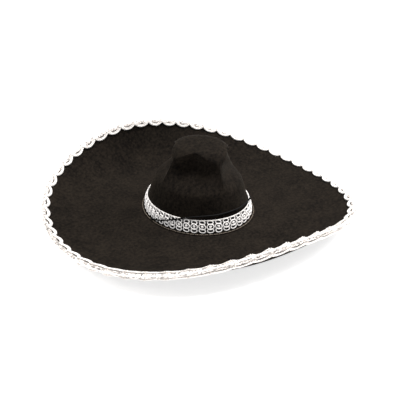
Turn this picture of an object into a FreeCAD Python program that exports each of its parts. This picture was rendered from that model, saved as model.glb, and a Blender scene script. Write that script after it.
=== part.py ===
import FreeCAD, Part
import math
import os

# Charro sombrero: black felt crown and brim, silver gimp braid, elastic chin cord.
# Millimetres, +Z up, the wearer faces -Y.  Z = 0 is the flat underside of the brim.

# ---- driving sizes -------------------------------------------------------
HEAD_SEMI_X = 85.5            # head opening inside the sweatband, half the width
HEAD_SEMI_Y = 98.8            # half the length: an oval of 58 cm all round
SWEATBAND_THICKNESS = 1.2
SWEATBAND_GAP = 3.4           # the sweatband stands off the crown wall by this much
BUCKRAM_THICKNESS = 0.8
CROWN_FELT_THICKNESS = 2.5
FIT_GAP = 0.05                # glue line between bonded layers

BRIM_FELT_THICKNESS = 2.0
BRIM_BOARD_THICKNESS = 1.0
BRIM_THICKNESS = 2 * BRIM_FELT_THICKNESS + BRIM_BOARD_THICKNESS

EDGE_MEAN_RADIUS = 278.0      # plan of the felt edge: a circle ...
EDGE_OVAL = 6.15              # ... a little wider across than front to back ...
EDGE_SQUARE = 7.6             # ... and fuller on the diagonals
EDGE_MEAN_RISE = 38.0         # height of the edge above the flat of the brim
EDGE_BACK_RISE = 10.2         # the back stands higher than the front
EDGE_ROLL_RISE = 30.5         # front and back roll up, the sides lie low
EDGE_BACK_PEAK = 6.15
EDGE_CORNER_RISE = 1.4
EDGE_DROOP = 8.0              # wear has let the front left sag a little ...
EDGE_DROOP_PLACE = math.radians(312)
EDGE_DROOP_POWER = 14         # ... over about fifty degrees
BRIM_FLAT_PART = 0.20         # share of the brim's width that lies flat
BRIM_CURL = 3.5               # power of the upward curl outside the flat ...
BRIM_CURL_SWING = 0.8         # ... tighter at front, back and sides than between

CROWN_HEIGHT = 132.0          # above the brim's top face
CROWN_LEAN = 12.0             # the tip leans forward by this much
DENT_DEPTH = 26.0             # four thumb dents, deepest at the front right ...
DENT_FAR_SHALLOWER = 6.0      # ... and this much shallower opposite it
DENT_LOW = 62.0               # they start this high above the brim ...
DENT_HIGH = 129.0             # ... and end under the tip ...
DENT_ARCH = 15.0              # ... in an arch, lower at its two feet ...
DENT_FAR_LOWER = 5.0          # ... and lower on the far side
DENT_SKEW = 1.4               # deepest above mid-height
DENT_ROUNDNESS = 0.5          # below 1: wide dents with narrow ridges between
FLANGE_WIDTH = 8.5
FLANGE_THICKNESS = 1.4

BAND_HEIGHT = 23.6
BAND_BACKING_THICKNESS = 0.8
BAND_CORD_RADIUS = 1.1
BAND_REPEATS = 46
EDGE_REPEATS = 54
EDGE_LOOP_DEPTH = 10.4
EDGE_CORD_RADIUS = 1.2
BINDING_THICKNESS = 0.6
BINDING_LEG = 6.0
WIRE_RADIUS = 0.8
WIRE_BEYOND = WIRE_RADIUS + 0.6
FOLD_NOSE = 2 * WIRE_RADIUS + 1.2   # how far the folded tape stands beyond the felt
BEAD_RADIUS = 0.7
CHIN_CORD_RADIUS = 1.4
STITCH_RADIUS = 0.4

LOOP_POLES = 96               # poles round one loop of a ring-shaped surface
STEP = 0.01                   # parameter step for slopes

WALL_OFFSET = SWEATBAND_THICKNESS + SWEATBAND_GAP
CROWN_SEMI_X = HEAD_SEMI_X + WALL_OFFSET + BUCKRAM_THICKNESS + CROWN_FELT_THICKNESS
CROWN_SEMI_Y = HEAD_SEMI_Y + WALL_OFFSET + BUCKRAM_THICKNESS + CROWN_FELT_THICKNESS
BRIM_TOP = BRIM_THICKNESS
FLANGE_TOP = BRIM_TOP + FLANGE_THICKNESS
BAND_BOTTOM = FLANGE_TOP + 0.2
BAND_TOP = BAND_BOTTOM + BAND_HEIGHT
CORD_HOLE_Z = FLANGE_TOP + 1.8
CORD_HOLE_RADIUS = CHIN_CORD_RADIUS + 0.2

# Crown outline: (height above the brim's top, share of the width at its foot)
CROWN_OUTLINE = [
    (4.0, 0.995), (16.0, 0.965), (31.0, 0.925), (47.0, 0.875), (64.0, 0.815),
    (80.0, 0.74), (95.0, 0.66), (109.0, 0.595), (120.0, 0.54), (127.5, 0.475),
    (131.0, 0.38), (132.0, 0.22), (132.0, 0.06),
]


# ---- small vector helpers --------------------------------------------------
def vector(x, y, z):
    return FreeCAD.Vector(x, y, z)


def loop_angles():
    return [2 * math.pi * step / LOOP_POLES for step in range(LOOP_POLES)]


def oval_radius(angle, semi_x, semi_y):
    """Plan radius of an oval in one direction."""
    return 1.0 / math.hypot(math.cos(angle) / semi_x, math.sin(angle) / semi_y)


def oval_loop(shrink, height):
    """A level loop inside the crown's foot oval by `shrink` (outside if negative)."""
    points = []
    for angle in loop_angles():
        radius = oval_radius(angle, CROWN_SEMI_X, CROWN_SEMI_Y) - shrink
        points.append(vector(radius * math.cos(angle), radius * math.sin(angle), height))
    return points


# ---- ring-shaped solids from loops of poles -------------------------------
def loop_curve(points):
    knots = list(range(len(points) + 1))
    curve = Part.BSplineCurve()
    curve.buildFromPolesMultsKnots(points, [1] * len(knots), knots, True, 3)
    return curve


def level_face(outer, inner=None):
    """A flat face inside a level loop, less the part inside a second loop."""
    wires = [Part.Wire(loop_curve(outer).toShape())]
    if inner:
        wires.append(Part.Wire(loop_curve(inner).toShape()))
    return Part.makeFace(wires, "Part::FaceMakerBullseye")


def loop_face(loops):
    """One smooth closed band through the first and last loop."""
    degree = min(3, len(loops) - 1)
    around = list(range(len(loops[0]) + 1))
    across = list(range(len(loops) - degree + 1))
    across_repeats = [degree + 1] + [1] * (len(across) - 2) + [degree + 1]
    poles = [list(column) for column in zip(*loops)]
    surface = Part.BSplineSurface()
    surface.buildFromPolesMultsKnots(
        poles, [1] * len(around), across_repeats, around, across, True, False, 3, degree)
    return surface.toShape()


def sew_solid(faces):
    """A closed solid with outward faces from faces that share their edges."""
    shell = Part.Compound(faces)
    shell.sewShape()
    solid = Part.Solid(shell.Shells[0])
    if solid.Volume < 0:
        solid.reverse()
    return solid


def ring_solid(bands):
    """A ring whose section is a closed chain of bands, each a list of loops."""
    return sew_solid([loop_face(loops) for loops in bands])


# ---- brim -------------------------------------------------------------------
def edge_radius(angle):
    return (EDGE_MEAN_RADIUS + EDGE_OVAL * math.cos(2 * angle)
            - EDGE_SQUARE * math.cos(4 * angle))


def edge_rise(angle):
    return (EDGE_MEAN_RISE + EDGE_BACK_RISE * math.sin(angle)
            - EDGE_ROLL_RISE * math.cos(2 * angle)
            - EDGE_BACK_PEAK * math.sin(3 * angle)
            + EDGE_CORNER_RISE * math.cos(4 * angle)
            - EDGE_DROOP * max(0.0, math.cos(angle - EDGE_DROOP_PLACE)) ** EDGE_DROOP_POWER)


def opening_radius(angle):
    """Plan radius of the brim's opening, flush with the inside of the crown felt."""
    return oval_radius(angle, CROWN_SEMI_X, CROWN_SEMI_Y) - CROWN_FELT_THICKNESS


def brim_underside(angle, part):
    """Point on the underside: part 0 at the opening, 1 at the felt edge."""
    inner = opening_radius(angle)
    radius = inner + (edge_radius(angle) - inner) * part
    curl = max(0.0, (part - BRIM_FLAT_PART) / (1 - BRIM_FLAT_PART))
    power = BRIM_CURL + BRIM_CURL_SWING * math.cos(4 * angle)
    height = edge_rise(angle) * curl ** power
    return vector(radius * math.cos(angle), radius * math.sin(angle), height)


def brim_directions(angle, part):
    """Unit vectors on the brim: outward along the surface, and its upward normal."""
    outward = brim_underside(angle, part + STEP) - brim_underside(angle, part - STEP)
    along = brim_underside(angle + STEP, part) - brim_underside(angle - STEP, part)
    normal = outward.cross(along)
    outward.normalize()
    normal.normalize()
    return outward, normal


def brim_point(angle, part, lift, beyond=0.0):
    """Point `lift` above the underside and `beyond` outside that place."""
    outward, normal = brim_directions(angle, part)
    if part <= BRIM_FLAT_PART:
        normal = vector(0, 0, 1)
    return brim_underside(angle, part) + normal * lift + outward * beyond


def brim_loop(part, lift, beyond=0.0):
    return [brim_point(angle, part, lift, beyond) for angle in loop_angles()]


def brim_parts(first, last, count):
    return [first + (last - first) * step / (count - 1) for step in range(count)]


def brim_layer(low, high, inset):
    """One sheet of the brim between two lifts, stopping `inset` inside the edge."""
    curled = brim_parts(BRIM_FLAT_PART, 1.0, 13)

    def rows(lift):
        return [brim_loop(part, lift, -inset if part == 1.0 else 0.0) for part in curled]

    under, over = rows(low), rows(high)
    opening_low, opening_high = brim_loop(0.0, low), brim_loop(0.0, high)
    return sew_solid([
        level_face(under[0], opening_low),
        loop_face(under),
        loop_face([under[-1], over[-1]]),
        loop_face(over),
        level_face(over[0], opening_high),
        loop_face([opening_low, opening_high]),
    ])


def brim_under_felt():
    return brim_layer(0.0, BRIM_FELT_THICKNESS, 0.0)


def brim_board():
    low = BRIM_FELT_THICKNESS + FIT_GAP
    return brim_layer(low, low + BRIM_BOARD_THICKNESS - 2 * FIT_GAP, 4.0)


def brim_top_felt():
    return brim_layer(BRIM_TOP - BRIM_FELT_THICKNESS, BRIM_TOP, 0.0)


def edge_tube_loops(radius, beyond):
    """Eight loops round a hoop that runs along the felt edge, at half its thickness."""
    middle = BRIM_THICKNESS / 2
    section = [(radius * math.cos(turn), radius * math.sin(turn))
               for turn in [step * math.pi / 4 for step in range(8)]]
    return [brim_loop(1.0, middle + up, beyond + out) for out, up in section]


def edge_tube(radius, beyond):
    """The hoop itself, with eight flats."""
    loops = edge_tube_loops(radius, beyond)
    return ring_solid([[loops[place - 1], loops[place]] for place in range(8)])


def brim_wire():
    return edge_tube(WIRE_RADIUS, WIRE_BEYOND)


def wire_sleeve():
    """Crimped tube that joins the ends of the wire at the back."""
    half = math.radians(2.5)
    ends = [brim_point(math.pi / 2 + side * half, 1.0, BRIM_THICKNESS / 2, WIRE_BEYOND)
            for side in (-1, 1)]
    axis = ends[1] - ends[0]
    outer = Part.makeCylinder(WIRE_RADIUS + 0.5, axis.Length, ends[0], axis)
    bore = Part.makeCylinder(WIRE_RADIUS + 0.2, axis.Length, ends[0], axis)
    return outer.cut(bore)


def edge_binding():
    """Woven tape folded over the felt edge and the wire."""
    nose = FOLD_NOSE
    middle = BRIM_THICKNESS / 2

    def fold(clear):
        low = -clear
        high = BRIM_THICKNESS + clear
        return [(low, -BINDING_LEG), (low, 0.0), (middle * 0.4 - clear, nose * 0.75 + clear),
                (middle, nose + clear), (middle * 1.6 + clear, nose * 0.75 + clear),
                (high, 0.0), (high, -BINDING_LEG)]

    outer = [brim_loop(1.0, lift, beyond) for lift, beyond in fold(FIT_GAP + BINDING_THICKNESS)]
    inner = [brim_loop(1.0, lift, beyond) for lift, beyond in fold(FIT_GAP)]
    return ring_solid([outer, [outer[-1], inner[-1]], inner, [inner[0], outer[0]]])


# ---- cords bent along three points ---------------------------------------------
def round_bar(wire, radius):
    """A round bar swept along a smooth wire."""
    start = wire.Edges[0].firstVertex(True).Point
    tangent = wire.Edges[0].tangentAt(wire.Edges[0].FirstParameter)
    profile = Part.Wire(Part.makeCircle(radius, start, tangent))
    return wire.makePipeShell([profile], True, True)


def bent_cord(first, middle, last, radius):
    return round_bar(Part.Wire(Part.Arc(first, middle, last).toShape()), radius)


def bar_between(first, last, radius):
    axis = last - first
    return Part.makeCylinder(radius, axis.Length, first, axis)


def flat_ring(centre, normal, radius, half_width):
    """A flat ring of cord, square in section, round a centre."""
    base = centre - normal * half_width
    outer = Part.makeCylinder(radius + half_width, 2 * half_width, base, normal)
    return outer.cut(Part.makeCylinder(radius - half_width, 2 * half_width, base, normal))


def edge_angles(repeats):
    """Equal steps along the felt edge, as plan angles, starting at the front."""
    samples = 720
    angles = [-math.pi / 2 + 2 * math.pi * step / samples for step in range(samples + 1)]
    lengths = [0.0]
    for first, second in zip(angles, angles[1:]):
        chord = brim_underside(second, 1.0) - brim_underside(first, 1.0)
        lengths.append(lengths[-1] + chord.Length)
    result = []
    cursor = 0
    for step in range(repeats + 1):
        target = lengths[-1] * step / repeats
        while cursor < samples - 1 and lengths[cursor + 1] < target:
            cursor += 1
        share = (target - lengths[cursor]) / (lengths[cursor + 1] - lengths[cursor])
        result.append(angles[cursor] + share * (angles[cursor + 1] - angles[cursor]))
    return result


def edge_loops(lift):
    """Scallops of braid cord on one face of the brim, one solid for each."""
    angles = edge_angles(EDGE_REPEATS)
    arcs = []
    for first, last in zip(angles, angles[1:]):
        middle = (first + last) / 2
        inset = 0.06 * (last - first)
        arcs.append(bent_cord(brim_point(first + inset, 1.0, lift, -1.0),
                              brim_point(middle, 1.0, lift, -EDGE_LOOP_DEPTH),
                              brim_point(last - inset, 1.0, lift, -1.0),
                              EDGE_CORD_RADIUS))
    return Part.Compound(arcs)


def edge_face_lift(above):
    """Lift that carries a cord of the braid clear of the tape, over or under."""
    clear = BINDING_THICKNESS + EDGE_CORD_RADIUS + 3 * FIT_GAP
    return BRIM_THICKNESS + clear if above else -clear


def edge_loops_top():
    return edge_loops(edge_face_lift(True))


def edge_loops_under():
    return edge_loops(edge_face_lift(False))


def edge_eyelets(above):
    """Small ring of braid cord beside one foot of each scallop."""
    lift = edge_face_lift(above)
    rings = []
    for angle, following in zip(edge_angles(EDGE_REPEATS), edge_angles(EDGE_REPEATS)[1:]):
        place = angle + 0.24 * (following - angle)
        centre = brim_point(place, 1.0, lift, -4.0)
        normal = brim_directions(place, 1.0)[1]
        rings.append(flat_ring(centre, normal, 1.3, 0.5))
    return Part.Compound(rings)


def edge_eyelets_top():
    return edge_eyelets(True)


def edge_eyelets_under():
    return edge_eyelets(False)


def edge_bead():
    """Thin twisted cord that runs round the fold of the braid."""
    return edge_tube(BEAD_RADIUS, FOLD_NOSE + BINDING_THICKNESS + BEAD_RADIUS + 0.2)


def edge_stitches():
    """Thread that goes right through tape and felt at the foot of each scallop."""
    stitches = []
    for angle in edge_angles(EDGE_REPEATS)[:-1]:
        low = brim_point(angle, 1.0, -BINDING_THICKNESS - 0.5, -3.5)
        high = brim_point(angle, 1.0, BRIM_THICKNESS + BINDING_THICKNESS + 0.5, -3.5)
        stitches.append(bar_between(low, high, STITCH_RADIUS))
    return Part.Compound(stitches)


# ---- crown -----------------------------------------------------------------------
def crown_dent(angle, height):
    """How far the wall is pushed in, from four dents on the diagonals."""
    ridge = 0.5 + 0.5 * math.cos(4 * angle)
    far = 0.5 + 0.5 * math.cos(angle - math.pi / 4)
    high = DENT_HIGH - DENT_ARCH * ridge - DENT_FAR_LOWER * far
    if not DENT_LOW < height < high:
        return 0.0
    share = (height - DENT_LOW) / (high - DENT_LOW)
    depth = (DENT_DEPTH - DENT_FAR_SHALLOWER * far) * (1 - ridge) ** DENT_ROUNDNESS
    return depth * math.sin(math.pi * share ** DENT_SKEW)


def crown_surface(angle, row):
    """Point on the outside of the crown at a fractional row of its outline."""
    row = min(max(row, 0.0), len(CROWN_OUTLINE) - 1.0)
    index = min(int(row), len(CROWN_OUTLINE) - 2)
    share = row - index
    (low, wide), (high, narrow) = CROWN_OUTLINE[index], CROWN_OUTLINE[index + 1]
    height = low + (high - low) * share
    width = wide + (narrow - wide) * share
    radius = oval_radius(angle, CROWN_SEMI_X, CROWN_SEMI_Y) * width
    radius -= crown_dent(angle, height)
    lean = CROWN_LEAN * (height / CROWN_HEIGHT) ** 2
    return vector(radius * math.cos(angle), radius * math.sin(angle) - lean,
                  height + BRIM_TOP)


def crown_loop(row, depth):
    """Loop of the crown at one row, sunk by `depth` along the inward normal."""
    points = []
    for angle in loop_angles():
        point = crown_surface(angle, row)
        if row == len(CROWN_OUTLINE) - 1:
            points.append(point + vector(0, 0, -depth))
            continue
        around = crown_surface(angle + STEP, row) - crown_surface(angle - STEP, row)
        upward = crown_surface(angle, row + 0.5) - crown_surface(angle, row - 0.5)
        inward = upward.cross(around)
        inward.normalize()
        points.append(point + inward * depth)
    return points


def crown_wall(depth):
    """Rows of loops up the crown at one depth, ending level at the tip."""
    half_rows = 2 * len(CROWN_OUTLINE) - 1
    return [crown_loop(step / 2, depth) for step in range(half_rows)]


def cord_holes():
    """Round cutters for the chin cord, through the wall at both sides."""
    reach = CROWN_SEMI_X + 12.0
    start = vector(-reach, 0, CORD_HOLE_Z)
    return Part.makeCylinder(CORD_HOLE_RADIUS, 2 * reach, start, vector(1, 0, 0))


def crown_felt():
    """Blocked felt cone with its flange turned out over the brim."""
    outside = [oval_loop(-FLANGE_WIDTH + 0.6, FLANGE_TOP), oval_loop(-3.0, FLANGE_TOP),
               oval_loop(-0.6, FLANGE_TOP + 0.2)] + crown_wall(0.0)
    inside = [oval_loop(CROWN_FELT_THICKNESS, BRIM_TOP)] + crown_wall(CROWN_FELT_THICKNESS)
    rim = [oval_loop(-FLANGE_WIDTH, BRIM_TOP), oval_loop(-FLANGE_WIDTH - 0.3, BRIM_TOP + 1.0),
           oval_loop(-FLANGE_WIDTH + 0.6, FLANGE_TOP)]
    solid = sew_solid([
        level_face(rim[0], inside[0]), loop_face(rim), loop_face(outside),
        level_face(outside[-1]), level_face(inside[-1]), loop_face(inside)])
    return solid.cut(cord_holes())


def crown_buckram():
    """Stiffened cloth cone bonded inside the felt."""
    outer_depth = CROWN_FELT_THICKNESS + FIT_GAP
    inner_depth = outer_depth + BUCKRAM_THICKNESS
    outside = [oval_loop(outer_depth, BRIM_TOP)] + crown_wall(outer_depth)
    inside = [oval_loop(inner_depth, BRIM_TOP)] + crown_wall(inner_depth)
    solid = sew_solid([
        level_face(outside[0], inside[0]), loop_face(outside),
        level_face(outside[-1]), level_face(inside[-1]), loop_face(inside)])
    return solid.cut(cord_holes())


def seam_stitches():
    """Running stitches that hold the flange down on the brim."""
    count = 84
    stitches = []
    for step in range(count):
        ends = []
        for share in (0.0, 0.55):
            angle = 2 * math.pi * (step + share) / count
            radius = oval_radius(angle, CROWN_SEMI_X, CROWN_SEMI_Y) + FLANGE_WIDTH - 2.0
            ends.append(vector(radius * math.cos(angle), radius * math.sin(angle),
                               FLANGE_TOP + STITCH_RADIUS))
        stitches.append(bar_between(ends[0], ends[1], STITCH_RADIUS))
    return Part.Compound(stitches)


# ---- places on the crown's plain wall, below the dents ------------------------------
def wall_width(height):
    """Share of the foot oval's width that the crown wall has above the brim."""
    outline = [(0.0, 1.0)] + CROWN_OUTLINE
    for (low, wide), (high, narrow) in zip(outline, outline[1:]):
        if height <= high:
            return wide + (narrow - wide) * max(0.0, height - low) / (high - low)
    return outline[-1][1]


def wall_point(angle, height, out):
    """Point at a height above Z = 0, `out` outside the crown's plain wall."""
    above = max(0.0, height - BRIM_TOP)
    radius = oval_radius(angle, CROWN_SEMI_X, CROWN_SEMI_Y) * wall_width(above) + out
    lean = CROWN_LEAN * (above / CROWN_HEIGHT) ** 2
    return vector(radius * math.cos(angle), radius * math.sin(angle) - lean, height)


def wall_loop(height, out):
    return [wall_point(angle, height, out) for angle in loop_angles()]


# ---- sweatband ---------------------------------------------------------------------
def sweatband_profile():
    """(height, distance inside the felt's outer face) up the band's wall side."""
    lining = CROWN_FELT_THICKNESS + BUCKRAM_THICKNESS
    return [(0.6, CROWN_FELT_THICKNESS + 0.3), (2.5, CROWN_FELT_THICKNESS + 0.3),
            (4.5, lining + 1.6), (6.5, lining + SWEATBAND_GAP),
            (13.0, lining + SWEATBAND_GAP), (21.0, lining + 2.2),
            (30.0, lining + 1.2), (38.0, lining + 1.0)]


def sweatband():
    """Turned-in band that bears on the head, sewn to the opening at its lower edge."""
    outer = [wall_loop(height, -inside) for height, inside in sweatband_profile()]
    inner = [wall_loop(height, -inside - SWEATBAND_THICKNESS)
             for height, inside in sweatband_profile()]
    return ring_solid([outer, [outer[-1], inner[-1]], inner, [inner[0], outer[0]]])


def sweatband_tape():
    """Short tape that covers the sweatband's joint at the back."""
    top = 33.0
    clear = CROWN_FELT_THICKNESS + BUCKRAM_THICKNESS + 1.2 + SWEATBAND_THICKNESS + 1.0
    front = wall_point(math.pi / 2, top, -clear).y - 0.7
    return Part.makeBox(12.0, 0.7, 20.0, vector(-6.0, front, top - 20.0))


def sweatband_stitches():
    """Stitches along the foot of the sweatband, into the brim's opening."""
    count = 72
    stitches = []
    shrink = CROWN_FELT_THICKNESS + 0.3 + SWEATBAND_THICKNESS + STITCH_RADIUS
    for step in range(count):
        ends = []
        for share in (0.0, 0.55):
            angle = 2 * math.pi * (step + share) / count
            radius = oval_radius(angle, CROWN_SEMI_X, CROWN_SEMI_Y) - shrink
            ends.append(vector(radius * math.cos(angle), radius * math.sin(angle), 1.6))
        stitches.append(bar_between(ends[0], ends[1], STITCH_RADIUS))
    return Part.Compound(stitches)


# ---- hatband -------------------------------------------------------------------------
def hatband_backing():
    """Plain ribbon under the gimp, glued to the crown wall."""
    near, far = 0.35, 0.35 + BAND_BACKING_THICKNESS
    heights = [BAND_BOTTOM + 3.0 + step * (BAND_HEIGHT - 6.0) / 4 for step in range(5)]

    outer = [wall_loop(height, far) for height in heights]
    inner = [wall_loop(height, near) for height in heights]
    solid = ring_solid([outer, [outer[-1], inner[-1]], inner, [inner[0], outer[0]]])
    return solid.cut(cord_holes())


def band_rings(centre_height, ring_radius, half_step, cord_radius, out):
    """One row of rings of gimp cord round the band."""
    rings = []
    for step in range(BAND_REPEATS):
        angle = 2 * math.pi * (step + 0.5 * half_step) / BAND_REPEATS
        centre = wall_point(angle, centre_height, out)
        around = wall_point(angle + STEP, centre_height, out) - centre
        upward = wall_point(angle, centre_height + 2.0, out) - centre
        normal = around.cross(upward)
        normal.normalize()
        rings.append(flat_ring(centre, normal, ring_radius, cord_radius))
    return rings


BAND_OUT = 0.35 + BAND_BACKING_THICKNESS + BAND_CORD_RADIUS + 0.3
BAND_MIDDLE = BAND_BOTTOM + BAND_HEIGHT / 2
BAND_ROW_STEP = 7.4


def hatband_upper_rings():
    return Part.Compound(band_rings(BAND_MIDDLE + BAND_ROW_STEP, 3.2, 1,
                                    BAND_CORD_RADIUS, BAND_OUT))


def hatband_centre_rings():
    return Part.Compound(band_rings(BAND_MIDDLE, 3.9, 0, BAND_CORD_RADIUS, BAND_OUT))


def hatband_lower_rings():
    return Part.Compound(band_rings(BAND_MIDDLE - BAND_ROW_STEP, 3.2, 1,
                                    BAND_CORD_RADIUS, BAND_OUT))


def hatband_lap():
    """Turned-over end of the band that covers its joint at the back."""
    face = wall_point(math.pi / 2, BAND_MIDDLE, BAND_OUT + BAND_CORD_RADIUS + 0.9)
    return Part.makeBox(11.0, 0.8, BAND_HEIGHT - 6.0,
                        vector(-5.5, face.y, BAND_BOTTOM + 3.0))


def hatband_tacks():
    """Four tack stitches that hold the lapped end."""
    face = wall_point(math.pi / 2, BAND_MIDDLE, BAND_OUT + BAND_CORD_RADIUS + 1.7)
    tacks = []
    for side in (-4.0, 4.0):
        for height in (BAND_BOTTOM + 6.0, BAND_TOP - 6.0):
            low = vector(side, face.y + STITCH_RADIUS, height - 1.5)
            tacks.append(bar_between(low, low + vector(0, 0, 3.0), STITCH_RADIUS))
    return Part.Compound(tacks)


# ---- chin cord --------------------------------------------------------------------------
CORD_TURNS_DEGREES = [180.0, 187.0, 196.0, 206.5, 218.0, 231.0, 245.0, 259.0]
CORD_HEIGHTS = [8.2, 9.6, 14.2, 21.0, 28.0, 34.2, 37.0, 37.4]


def cord_route():
    """Centre line of the chin cord, from the wearer's right hole round the front."""
    side = []
    outside = BAND_OUT + BAND_CORD_RADIUS + CHIN_CORD_RADIUS + 0.3
    for degrees, height in zip(CORD_TURNS_DEGREES, CORD_HEIGHTS):
        out = outside if height < BAND_TOP else outside - 1.6
        side.append(wall_point(math.radians(degrees), height, out))
    foot = vector(side[0].x - 2.5, 0.0, CORD_HOLE_Z)
    side[0] = foot
    start = vector(-(CROWN_SEMI_X - CROWN_FELT_THICKNESS - BUCKRAM_THICKNESS - 1.0), 0.0,
                   CORD_HOLE_Z)
    half = [start] + side
    return half + [vector(-point.x, point.y, point.z) for point in reversed(half)]


def cord_wire(points):
    """Straight runs joined by tangent arcs, each as large as its two runs allow."""
    edges = []
    here = points[0]
    radii = []
    for before, corner, after in zip(points, points[1:], points[2:]):
        to_before = before - corner
        to_after = after - corner
        turn = math.pi - to_before.getAngle(to_after)
        setback = 0.45 * min(to_before.Length, to_after.Length)
        radii.append(setback / math.tan(turn / 2))
        to_before.normalize()
        to_after.normalize()
        first = corner + to_before * setback
        last = corner + to_after * setback
        bisector = to_before + to_after
        bisector.normalize()
        bulge = radii[-1] * (1 / math.cos(turn / 2) - 1)
        if (first - here).Length > 0.001:
            edges.append(Part.LineSegment(here, first).toShape())
        edges.append(Part.Arc(first, corner + bisector * bulge, last).toShape())
        here = last
    edges.append(Part.LineSegment(here, points[-1]).toShape())
    return Part.Wire(edges), radii


def chin_cord():
    wire, radii = cord_wire(cord_route())
    solid = round_bar(wire, CHIN_CORD_RADIUS)
    expected = math.pi * CHIN_CORD_RADIUS ** 2 * wire.Length
    print("chin cord: length %.1f mm, volume %.0f of %.0f mm3, radii %s"
          % (wire.Length, solid.Volume, expected,
             ", ".join("%.0f" % radius for radius in radii)))
    return solid


def cord_knot(side):
    """Flattened knot behind the sweatband that keeps the cord in its hole."""
    inside = CROWN_SEMI_X - CROWN_FELT_THICKNESS - BUCKRAM_THICKNESS - 1.0 - 1.2
    knot = Part.makeSphere(3.4)
    squeeze = FreeCAD.Matrix()
    squeeze.scale(0.34, 1.0, 0.8)
    knot = knot.transformGeometry(squeeze)
    knot.translate(vector(side * inside, 0, CORD_HOLE_Z))
    return knot


def cord_knot_right():
    return cord_knot(-1)


def cord_knot_left():
    return cord_knot(1)


NODES = [
    brim_under_felt, brim_board, brim_top_felt, brim_wire, wire_sleeve,
    edge_binding, edge_bead, edge_loops_top, edge_loops_under,
    edge_eyelets_top, edge_eyelets_under, edge_stitches,
    crown_felt, crown_buckram, seam_stitches,
    sweatband, sweatband_tape, sweatband_stitches,
    hatband_backing, hatband_upper_rings, hatband_centre_rings, hatband_lower_rings,
    hatband_lap, hatband_tacks,
    chin_cord, cord_knot_right, cord_knot_left,
]


def main():
    os.makedirs("parts", exist_ok=True)
    box = FreeCAD.BoundBox()
    for maker in NODES:
        shape = maker()
        shape.exportStep("parts/" + maker.__name__ + ".step")
        box.add(shape.BoundBox)
        print("%-22s valid %s  solids %d  volume %.0f mm3" % (
            maker.__name__, shape.isValid(), len(shape.Solids), shape.Volume))
    print("box", box)


main()
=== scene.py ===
import logging
import math
from dataclasses import dataclass
from enum import Enum
from typing import Callable, Sequence

import bmesh
import bpy
from mathutils import Matrix, Vector, noise


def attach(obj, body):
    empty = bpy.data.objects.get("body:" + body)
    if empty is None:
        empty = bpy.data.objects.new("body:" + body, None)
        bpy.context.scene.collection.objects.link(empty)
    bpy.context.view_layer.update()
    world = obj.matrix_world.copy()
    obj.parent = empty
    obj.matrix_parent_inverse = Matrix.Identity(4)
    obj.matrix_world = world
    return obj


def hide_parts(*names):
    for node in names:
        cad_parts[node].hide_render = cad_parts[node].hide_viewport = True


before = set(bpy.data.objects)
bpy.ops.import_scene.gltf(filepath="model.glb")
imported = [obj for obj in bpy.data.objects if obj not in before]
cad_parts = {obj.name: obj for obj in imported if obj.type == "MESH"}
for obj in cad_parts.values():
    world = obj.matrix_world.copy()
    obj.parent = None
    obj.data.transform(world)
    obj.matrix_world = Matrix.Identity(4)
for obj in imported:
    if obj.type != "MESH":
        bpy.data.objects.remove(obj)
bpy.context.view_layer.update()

# Lengths are millimetres while a piece is being made; a finished mesh is scaled to metres.
ROOT_BODY = "root"
METRE = 1000.0
MERGE_DISTANCE = 0.001
LOG = logging.getLogger("sombrero")

Place = Callable[[float, int], Vector]
Route = Callable[[float], tuple[Vector, Vector]]
Maps = bpy.types.NodeOutputs
Pattern = tuple[bpy.types.NodeSocket, bpy.types.NodeSocket]


# ---- shape of the hat ------------------------------------------------------------------
def polar(angle: float, radius: float, height: float) -> Vector:
    """Point at a plan angle, a distance from the middle of the hat and a height."""
    return Vector((radius * math.cos(angle), radius * math.sin(angle), height))


def spline_value(points: Sequence[tuple[float, float]], place: float) -> tuple[float, float]:
    """Read a smooth curve through a control outline.

    Args:
        points: Control points of a uniform cubic spline.
        place: Position along the outline, counted in control points.
    Returns:
        The two values of the curve at that place.
    """
    last = len(points) - 1
    index = min(int(place), last - 1)
    share = place - index
    weights = ((1 - share) ** 3 / 6, (3 * share ** 3 - 6 * share ** 2 + 4) / 6,
               (-3 * share ** 3 + 3 * share ** 2 + 3 * share + 1) / 6, share ** 3 / 6)
    chosen = [points[min(max(index + step, 0), last)] for step in (-1, 0, 1, 2)]
    return (sum(weight * point[0] for weight, point in zip(weights, chosen)),
            sum(weight * point[1] for weight, point in zip(weights, chosen)))


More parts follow.
